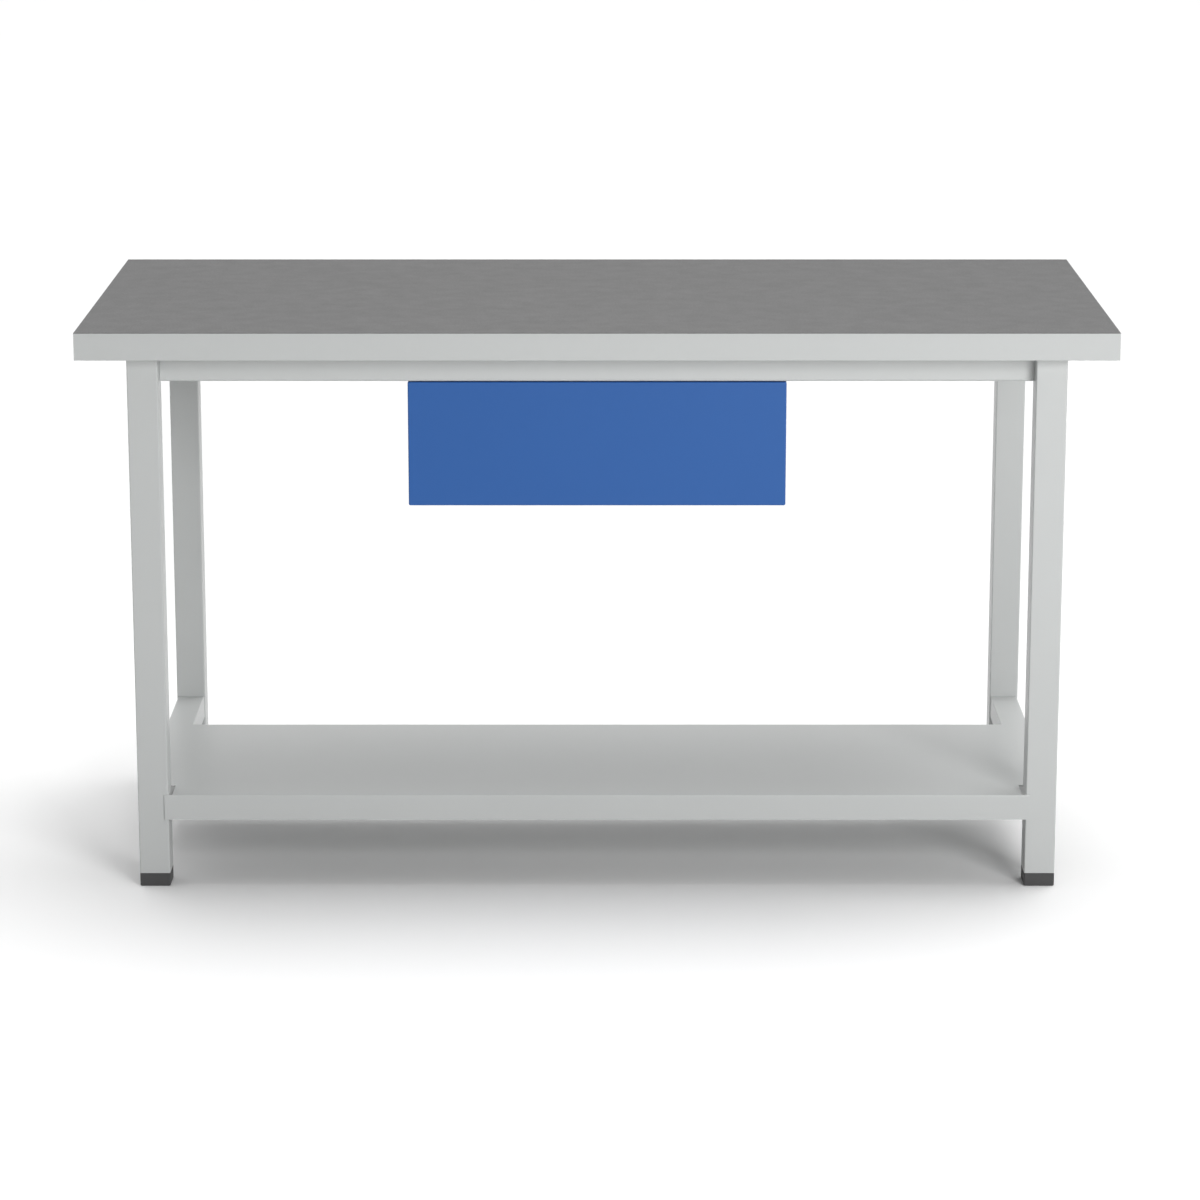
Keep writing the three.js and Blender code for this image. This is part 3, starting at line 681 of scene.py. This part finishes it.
def carved(mesh, cutters):
    """The mesh with the cutters' space taken away."""
    body = mesh_object("body", mesh)
    tools = [mesh_object("tool", cutter) for cutter in cutters]
    for tool in tools:
        cut = body.modifiers.new("cut", "BOOLEAN")
        cut.object = tool
        cut.operation = "DIFFERENCE"
        cut.solver = "EXACT"
    result = bmesh.new()
    result.from_mesh(body.evaluated_get(bpy.context.evaluated_depsgraph_get()).to_mesh())
    for used in (body, *tools):
        data = used.data
        bpy.data.objects.remove(used)
        bpy.data.meshes.remove(data)
    bmesh.ops.remove_doubles(result, verts=result.verts, dist=WELD_DISTANCE)
    bmesh.ops.dissolve_limit(result, angle_limit=FLAT_ANGLE, verts=result.verts, edges=result.edges)
    return result


# Pieces

SLOT_OF_NODE = {part["node"]: part["material_slot"] for part in frame["record"]["subparts"]}
BODY_OF_NODE = {
    node: body for body, nodes in frame["record"]["behaviour"]["bodies"].items() for node in nodes
}


def coat_with(piece, slot):
    piece.data.materials.clear()
    piece.data.materials.append(MATERIALS[slot])


def finish_piece(piece, slot, body, edge):
    """Breaks or marks the sharp edges, gives the piece its finish and sets it on its body."""
    for face in piece.data.polygons:
        face.use_smooth = True
    if edge:
        bevel = piece.modifiers.new("cut_edge", "BEVEL")
        bevel.width = edge
        bevel.segments = CUT_EDGE_STEPS
        bevel.limit_method = "ANGLE"
        bevel.angle_limit = SHARP_ANGLE
        bevel.use_clamp_overlap = True
    else:
        piece.data.set_sharp_from_angle(angle=SHARP_ANGLE)
    weighted = piece.modifiers.new("flat_faces", "WEIGHTED_NORMAL")
    weighted.keep_sharp = True
    weighted.weight = FLAT_FACE_WEIGHT
    coat_with(piece, slot)
    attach(piece, body)


def dress(node, mesh, edge=CUT_EDGE):
    """Stands a finished piece in the place of a node, with its finish and on its body."""
    piece = mesh_object("finished_" + node, mesh)
    finish_piece(piece, SLOT_OF_NODE[node], BODY_OF_NODE[node], edge)
    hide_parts(node)


def add_trim(name, mesh, slot, body):
    finish_piece(mesh_object(name, mesh), slot, body, edge=0)


def middle_of(node):
    low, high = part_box(node)
    return (low + high) / 2


# Board: surface sheet and edge bands with eased edges; the core and the backing keep their shape

def dress_board():
    dress("worktop_surface", eased_block(*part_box("worktop_surface"), SURFACE_EASE), edge=0)
    for place in (*ENDS, *SIDES):
        node = "edge_band_" + place
        dress(node, eased_block(*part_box(node), BAND_EASE), edge=0)
    for node in ("worktop_core", "worktop_backing"):
        coat_with(frame["nodes"][node], SLOT_OF_NODE[node])


# Frame: legs, feet, rails and their welds

def dress_leg(node):
    low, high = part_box(node)
    outside = (low.x, high.x, low.y, high.y)
    dress(node, square_tube(outside, low.z, high.z, along_z))


def square_ring(low, high, inset, corner, z):
    points = rounded_rectangle(low.x + inset, high.x - inset, low.y + inset, high.y - inset, corner)
    return [Vector((x, y, z)) for x, y in points]


def dress_foot(node, leg):
    """A moulded foot: a hollow sole with a rim, a chamfered block and the spigot inside the tube."""
    low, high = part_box(node)
    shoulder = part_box(leg)[0].z
    insets_and_heights = [
        (FOOT_HOLLOW_RIM + FOOT_CHAMFER, low.z + FOOT_HOLLOW_DEPTH),
        (FOOT_HOLLOW_RIM, low.z),
        (FOOT_CHAMFER, low.z),
        (0, low.z + FOOT_CHAMFER),
        (0, shoulder - FOOT_SHOULDER),
        (FOOT_SHOULDER, shoulder),
        (SPIGOT_INSET, shoulder),
        (SPIGOT_INSET, high.z - FOOT_CHAMFER),
        (SPIGOT_INSET + FOOT_CHAMFER, high.z),
    ]
    rings = [square_ring(low, high, inset, FOOT_CORNER, z) for inset, z in insets_and_heights]
    dress(node, lofted(rings), edge=0)


def channel_section(outer, inner, bottom, top):
    """A channel open towards the middle of the table."""
    path = [(inner, bottom), (outer, bottom), (outer, top), (inner, top)]
    if outer < inner:
        path.reverse()
    return bent_section(path, RAIL_SHEET, RAIL_BEND)


def dress_long_rail(end):
    """The front or rear top rail: a folded channel with an end plate at each leg."""
    node = "top_rail_" + end
    low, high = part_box(node)
    outer, inner = (low.y, high.y) if end == "front" else (high.y, low.y)
    section = channel_section(outer, inner, low.z, high.z)
    plate = rounded_rectangle(low.y, high.y, low.z, high.z, RAIL_BEND)
    bodies = [
        extruded(section, low.x + RAIL_SHEET, high.x - RAIL_SHEET, along_x),
        extruded(plate, low.x, low.x + RAIL_SHEET, along_x),
        extruded(plate, high.x - RAIL_SHEET, high.x, along_x),
    ]
    dress(node, joined(bodies))


def dress_side_rail(side):
    node = "top_rail_" + side
    low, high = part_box(node)
    outer, inner = (low.x, high.x) if side == "left" else (high.x, low.x)
    section = channel_section(outer, inner, low.z, high.z)
    dress(node, extruded(section, low.y, high.y, along_y))


def dress_lower_rail(side):
    node = "lower_rail_" + side
    low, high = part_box(node)
    outside = (low.x, high.x, low.z, high.z)
    dress(node, square_tube(outside, low.y, high.y, along_y))


def weld_bead(start, end, faces):
    """A rippled fillet weld along the corner of two faces, given by their outward normals."""
    start, end = Vector(start), Vector(end)
    first, second = (Vector(face) for face in faces)
    ripples = max(2, round((end - start).length / BEAD_PITCH))
    steps = ripples * BEAD_STEPS_PER_RIPPLE
    rings = []
    for index in range(steps + 1):
        share = index / steps
        swell = 1 + BEAD_RIPPLE * math.sin(2 * math.pi * ripples * share)
        taper = min(1.0, BEAD_TIP + BEAD_TAPER * min(share, 1 - share))
        size = BEAD_SIZE * swell * taper
        corner = start.lerp(end, share)
        ring = [corner]
        for angle in quarter_turn(BEAD_ARC_STEPS):
            ring.append(corner + first * (size * math.cos(angle)) + second * (size * math.sin(angle)))
        rings.append(ring)
    return lofted(rings)


def add_welds():
    """Beads where the welded side rails meet the legs."""
    for side, sign in SIDES.items():
        top_low, top_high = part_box("top_rail_" + side)
        low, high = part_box("lower_rail_" + side)
        web = top_high.x if sign > 0 else top_low.x
        for end, y, inward in (("front", low.y, 1), ("rear", high.y, -1)):
            bottom = weld_bead((low.x + BEAD_END, y, low.z), (high.x - BEAD_END, y, low.z),
                               [(0, 0, -1), (0, inward, 0)])
            add_trim(f"weld_lower_{end}_{side}", bottom, "grey_coat", "frame")
            upright = weld_bead((web, y, top_low.z + BEAD_END), (web, y, top_high.z - BEAD_END),
                                [(sign, 0, 0), (0, inward, 0)])
            add_trim(f"weld_upper_{end}_{side}", upright, "grey_coat", "frame")


# Shelf: one folded sheet, cut out around the front legs

def dress_shelf():
    low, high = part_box("shelf")
    path = [(high.y, low.z), (high.y, high.z), (low.y, high.z), (low.y, low.z)]
    sheet = extruded(bent_section(path, SHELF_SHEET, SHELF_BEND), low.x, high.x, along_x)
    over_shelf = high.z + CUT_MARGIN
    cutters = []
    for side, sign in SIDES.items():
        leg_low, leg_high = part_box("leg_front_" + side)
        leg_inner = leg_low.x if sign > 0 else leg_high.x
        rail_low, rail_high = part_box("lower_rail_" + side)
        rail_inner = rail_low.x if sign > 0 else rail_high.x
        beyond = sign * (high.x + CUT_MARGIN)
        notch_rear = leg_high.y + LEG_REAR_GAP
        notch = (leg_inner - sign * LEG_SIDE_GAP, leg_low.y - LEG_FRONT_GAP, notch_rear, over_shelf)
        lip_end = (leg_inner + sign * LIP_OVER_LEG, low.y - CUT_MARGIN, notch_rear, over_shelf)
        rear_lip_end = (rail_inner - sign * REAR_LIP_END_GAP, high.y - CUT_MARGIN, high.y + CUT_MARGIN,
                        rail_high.z)
        for inner, front, rear, top in (notch, lip_end, rear_lip_end):
            x_low, x_high = sorted((inner, beyond))
            cutters.append(block((x_low, front, low.z - CUT_MARGIN), (x_high, rear, top)))
    dress("shelf", carved(sheet, cutters), edge=0)


# Drawer carrier

def dress_hanger(side):
    node = "drawer_hanger_" + side
    low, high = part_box(node)
    sign = SIDES[side]
    slide_low, slide_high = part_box("slide_outer_" + side)
    web_inner = slide_high.x if sign > 0 else slide_low.x
    web_outer = web_inner + sign * HANGER_SHEET
    tip = high.x if sign > 0 else low.x
    foot_tip = -sign * HANGER_FOOT + web_outer
    seat = high.z - HANGER_SHEET
    path = [(tip, seat), (web_outer, seat), (web_outer, low.z), (foot_tip, low.z)]
    if sign > 0:
        path.reverse()
    dress(node, extruded(bent_section(path, HANGER_SHEET, HANGER_BEND), low.y, high.y, along_y))


def dress_hanger_back():
    low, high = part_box("drawer_hanger_back")
    seat = high.z - HANGER_SHEET
    face = low.y + HANGER_SHEET
    path = [(face, low.z), (face, seat), (high.y, seat)]
    section = bent_section(path, HANGER_SHEET, HANGER_BEND)
    dress("drawer_hanger_back", extruded(section, low.x, high.x, along_x))


# Drawer

def pan_ring(low, high, y, side, top, bottom, radius):
    points = rounded_rectangle(low.x + side, high.x - side, low.z + bottom, high.z - top, radius)
    return [Vector((x, y, z)) for x, z in points]


def dress_drawer_front():
    """A folded pan: round bends all about the face, returns behind the sides and the top."""
    low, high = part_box("drawer_front")
    rings = []
    for angle in quarter_turn(BEND_STEPS):
        inset = PAN_BEND * (1 - math.sin(angle))
        y = low.y + PAN_BEND * (1 - math.cos(angle))
        rings.append(pan_ring(low, high, y, inset, inset, inset, PAN_CORNER))
    for angle in quarter_turn(BEND_STEPS):
        inset = PAN_BEND * (1 - math.cos(angle))
        y = high.y - PAN_BEND * (1 - math.sin(angle))
        rings.append(pan_ring(low, high, y, inset, inset, 0, PAN_CORNER))
    side = PAN_SHEET + PAN_SIDE_RETURN
    top = PAN_SHEET + PAN_TOP_RETURN
    inner_corner = PAN_CORNER - PAN_SHEET
    for y in (high.y, high.y - PAN_SHEET):
        rings.append(pan_ring(low, high, y, side, top, PAN_SHEET, inner_corner))
    for y in (high.y - PAN_SHEET, low.y + PAN_SHEET):
        rings.append(pan_ring(low, high, y, PAN_SHEET, PAN_SHEET, PAN_SHEET, inner_corner))
    pan = lofted(rings)
    bmesh.ops.dissolve_degenerate(pan, dist=WELD_DISTANCE, edges=pan.edges)
    dress("drawer_front", pan, edge=0)


def tub_side():
    """How far the inner faces of the tub's sides are from the middle."""
    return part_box("drawer_back")[1].x + TUB_BACK_PLAY


def dress_drawer_box():
    low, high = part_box("drawer_tub")
    inner = tub_side()
    floor = low.z + TUB_SHEET
    tub_path = [(high.x, high.z), (inner, high.z), (inner, floor),
                (-inner, floor), (-inner, high.z), (low.x, high.z)]
    dress("drawer_tub", extruded(bent_section(tub_path, TUB_SHEET, TUB_BEND), low.y, high.y, along_y))
    low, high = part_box("drawer_back")
    back_path = [(low.x, high.y), (low.x, low.y), (high.x, low.y), (high.x, high.y)]
    dress("drawer_back", extruded(bent_section(back_path, TUB_SHEET, TUB_BEND), low.z, high.z, along_z))
    dress("drawer_inner_front", eased_block(*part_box("drawer_inner_front"), CUT_EDGE), edge=0)


# Ball slides

def slide_member(node, opens_right, lip=0.0):
    """A folded channel, with lips that hold the balls where it has any."""
    low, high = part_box(node)
    front_x, back_x = (high.x, low.x) if opens_right else (low.x, high.x)
    path = [(front_x, high.z), (back_x, high.z), (back_x, low.z), (front_x, low.z)]
    if lip:
        path = [(front_x, high.z - lip), *path, (front_x, low.z + lip)]
    if not opens_right:
        path.reverse()
    return extruded(bent_section(path, SLIDE_SHEET, SLIDE_BEND), low.y, high.y, along_y)


def fixing_places(node, x):
    """Points along a slide member where it is riveted, or where a tool reaches through it."""
    low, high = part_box(node)
    z = (low.z + high.z) / 2
    return [Vector((x, low.y + share * (high.y - low.y), z)) for share in FIXING_SHARES]


def with_access_holes(mesh, node):
    low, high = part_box(node)
    across = [(-CUT_MARGIN, ACCESS_HOLE_RADIUS), (high.x - low.x + CUT_MARGIN, ACCESS_HOLE_RADIUS)]
    return carved(mesh, [spun(across, place, (1, 0, 0)) for place in fixing_places(node, low.x)])


def ball(radius, centre):
    mesh = bmesh.new()
    bmesh.ops.create_uvsphere(mesh, u_segments=BALL_SIDES, v_segments=BALL_RINGS, radius=radius)
    bmesh.ops.translate(mesh, vec=centre, verts=mesh.verts)
    return mesh


def dress_cage(kind, side):
    """A folded strip that holds two rows of balls."""
    node = f"slide_{kind}_cage_{side}"
    low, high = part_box(node)
    sign = SIDES[side]
    radius = BALL_DIAMETERS[kind] / 2
    row_top = high.z - radius
    row_bottom = low.z + radius
    strip_top = row_top + CAGE_SHEET / 2
    strip_bottom = row_bottom - CAGE_SHEET / 2
    back_x, front_x = (low.x, high.x) if sign < 0 else (high.x, low.x)
    path = [(front_x, strip_top), (back_x, strip_top), (back_x, strip_bottom), (front_x, strip_bottom)]
    if sign > 0:
        path.reverse()
    bodies = [extruded(bent_section(path, CAGE_SHEET, CAGE_BEND), low.y, high.y, along_y)]
    ball_x = (front_x + back_x - sign * CAGE_SHEET) / 2
    pitch = (high.y - low.y) / BALLS_PER_ROW
    for index in range(BALLS_PER_ROW):
        for z in (row_bottom, row_top):
            bodies.append(ball(radius, (ball_x, low.y + (index + 0.5) * pitch, z)))
    dress(node, joined(bodies), edge=0)


def dress_slides():
    for side, sign in SIDES.items():
        outer, middle, inner = (f"slide_{kind}_{side}" for kind in ("outer", "middle", "inner"))
        dress(outer, slide_member(outer, sign < 0, OUTER_LIP))
        dress(middle, with_access_holes(slide_member(middle, sign < 0), middle))
        dress(inner, slide_member(inner, sign > 0))
        for kind in BALL_DIAMETERS:
            dress_cage(kind, side)


# Screws, bolts, rivets and buffers

def scaled(dome, height, radius):
    return [(share * height, reach * radius) for share, reach in dome]


def lobed(radius):
    return lambda angle: radius * (1 + RECESS_WAVE * math.cos(RECESS_LOBES * angle))


def pan_head(head_radius, head_height, shank_radius, length):
    """A round-headed screw with a lobed recess: heights count from the seat, the shank is positive."""
    recess = head_radius * RECESS_RADIUS
    return [
        (-head_height * (1 - RECESS_DEPTH), lobed(recess * RECESS_DRAFT)),
        (-head_height, lobed(recess)),
        *scaled(SCREW_DOME, -head_height, head_radius),
        (0, shank_radius),
        (length - shank_radius, shank_radius),
        (length, shank_radius * SCREW_POINT),
    ]


def hexagon(flat):
    step = math.pi / 3
    return lambda angle: flat / 2 / math.cos((angle + step / 2) % step - step / 2)


def hex_bolt(head_height, shank_radius, length):
    """A hexagon head with a chamfer, on a flange: heights count from the seat."""
    top = -(BOLT_FLANGE_HEIGHT + head_height)
    return [
        (top, BOLT_FLAT / 2 * BOLT_CROWN),
        (top + BOLT_CHAMFER, hexagon(BOLT_FLAT)),
        (-BOLT_FLANGE_HEIGHT * BOLT_NECK, hexagon(BOLT_FLAT)),
        *scaled(FLANGE_DOME, -BOLT_FLANGE_HEIGHT, BOLT_FLANGE / 2),
        (0, shank_radius),
        (length, shank_radius),
    ]


def dress_bolt(end, side):
    node = f"rail_bolt_{end}_{side}"
    low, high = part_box(node)
    head_x = low.x if side == "right" else high.x
    seat = middle_of(node)
    seat.x = head_x + SIDES[side] * (RAIL_BOLT["head_height"] + BOLT_FLANGE_HEIGHT)
    dress(node, spun(hex_bolt(**RAIL_BOLT), seat, (SIDES[side], 0, 0)), edge=0)


def dress_board_screw(node):
    seat = middle_of(node)
    seat.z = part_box(node)[0].z + BOARD_SCREW["head_height"]
    dress(node, spun(pan_head(**BOARD_SCREW), seat, (0, 0, 1)))


def dress_front_screw(node):
    seat = middle_of(node)
    seat.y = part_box(node)[1].y - FRONT_SCREW["head_height"]
    dress(node, spun(pan_head(**FRONT_SCREW), seat, (0, -1, 0)))


def dress_fasteners():
    for end in ENDS:
        for side in SIDES:
            dress_bolt(end, side)
    for node in SLOT_OF_NODE:
        if node.startswith(("board_screw", "hanger_screw")):
            dress_board_screw(node)
    for node in SLOT_OF_NODE:
        if node.startswith("front_screw"):
            dress_front_screw(node)


def rivets(node, x, facing):
    """Domed rivet heads with the pit that the drawn pin leaves."""
    head = scaled(RIVET_DOME, RIVET_HEIGHT, RIVET_RADIUS)
    return [spun(head, place, (facing, 0, 0)) for place in fixing_places(node, x)]


def add_rivets():
    """Rivets that hold the outer slide members to the hangers and the inner ones to the tub."""
    for side, sign in SIDES.items():
        outer, inner = "slide_outer_" + side, "slide_inner_" + side
        hanger_face = max(abs(corner.x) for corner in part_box(outer)) + HANGER_SHEET
        member_face = min(abs(corner.x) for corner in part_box(inner)) + SLIDE_SHEET
        on_hanger = rivets(outer, sign * hanger_face, sign)
        in_tub = rivets(inner, sign * tub_side(), -sign)
        on_member = rivets(inner, sign * member_face, sign)
        add_trim("hanger_rivets_" + side, joined(on_hanger), "zinc_steel", "frame")
        add_trim("drawer_rivets_" + side, joined(in_tub + on_member), "zinc_steel", "drawer")


def dress_buffer(node):
    low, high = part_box(node)
    seat = middle_of(node)
    seat.y = high.y
    dome = scaled(BUFFER_DOME, high.y - low.y, (high.z - low.z) / 2)
    dress(node, spun(dome, seat, (0, -1, 0)))


# The table

def dress_table():
    dress_board()
    for end in ENDS:
        for side in SIDES:
            dress_leg(f"leg_{end}_{side}")
            dress_foot(f"foot_{end}_{side}", f"leg_{end}_{side}")
        dress_long_rail(end)
    for side in SIDES:
        dress_side_rail(side)
        dress_lower_rail(side)
        dress_hanger(side)
        dress_buffer("drawer_buffer_" + side)
    dress_shelf()
    add_welds()
    dress_hanger_back()
    dress_drawer_front()
    dress_drawer_box()
    dress_slides()
    dress_fasteners()
    add_rivets()


# Studio: floor, room light, lamps and camera

def looked_at(tree):
    """1 where the camera looks, straight on, by a reflection or through glass."""
    path = put(tree, "ShaderNodeLightPath").outputs
    seen = math_node(tree, "MAXIMUM", path["Is Camera Ray"], path["Is Glossy Ray"])
    return math_node(tree, "MAXIMUM", seen, path["Is Transmission Ray"])


def make_floor():
    mesh = bmesh.new()
    bmesh.ops.create_grid(mesh, x_segments=1, y_segments=1, size=FLOOR_SIZE / 2)
    floor = mesh_object("studio_floor", mesh)
    material, tree, shader = new_material("pale_floor")
    pale = mixed(tree, looked_at(tree), FLOOR_BOUNCE, FLOOR_COLOUR)
    tree.links.new(pale, shader.inputs["Base Color"])
    shader.inputs["Roughness"].default_value = 1.0
    shader.inputs["Specular IOR Level"].default_value = 0.0
    floor.data.materials.append(material)


def make_room():
    """Soft light from all round, a little stronger from above, behind and the right; white to look at."""
    world = bpy.data.worlds.new("studio_room")
    bpy.context.scene.world = world
    world.use_nodes = True
    tree = world.node_tree
    tree.nodes.clear()
    toward = put(tree, "ShaderNodeTexCoord").outputs["Generated"]
    parts = put(tree, "ShaderNodeSeparateXYZ", {0: toward}).outputs
    level = ROOM_LEVEL
    for axis, share in (("Z", ROOM_FROM_ABOVE), ("Y", ROOM_FROM_BEHIND), ("X", ROOM_FROM_RIGHT)):
        level = total(tree, product(tree, parts[axis], share), level)
    level = math_node(tree, "MAXIMUM", level, 0.0)
    light = put(tree, "ShaderNodeBackground", {"Color": WHITE, "Strength": level}).outputs[0]
    backdrop = put(tree, "ShaderNodeBackground", {"Color": WHITE, "Strength": 1.0}).outputs[0]
    mix = put(tree, "ShaderNodeMixShader", {0: looked_at(tree), 1: light, 2: backdrop}).outputs[0]
    put(tree, "ShaderNodeOutputWorld", {"Surface": mix})


def add_lamp(name, kind, place, aim):
    lamp = bpy.data.lights.new(name, kind)
    stand = bpy.data.objects.new(name, lamp)
    bpy.context.scene.collection.objects.link(stand)
    stand.location = place
    stand.rotation_euler = (Vector(aim) - Vector(place)).to_track_quat("-Z", "Y").to_euler()
    return lamp


def make_lamps():
    """A wide soft key from above and behind, and a softbox at the front right for the upright faces."""
    key = add_lamp("soft_key", "SUN", KEY_FROM, (0, 0, 0))
    key.angle = math.radians(KEY_SPREAD)
    key.energy = KEY_STRENGTH
    fill = add_lamp("front_softbox", "AREA", FILL_PLACE, FILL_AIM)
    fill.shape = "SQUARE"
    fill.size = FILL_SIZE
    fill.energy = FILL_POWER


def make_camera():
    camera = bpy.data.objects.new("camera", bpy.data.cameras.new("camera"))
    bpy.context.scene.collection.objects.link(camera)
    camera.data.sensor_width = CAMERA_SENSOR
    camera.data.lens = CAMERA_LENS
    camera.location = CAMERA_PLACE
    camera.rotation_euler = (math.radians(90 - CAMERA_TILT_DOWN), 0, 0)
    bpy.context.scene.camera = camera


make_camera()
make_floor()
make_room()
make_lamps()
dress_table()
bpy.context.scene.view_settings.view_transform = "Standard"
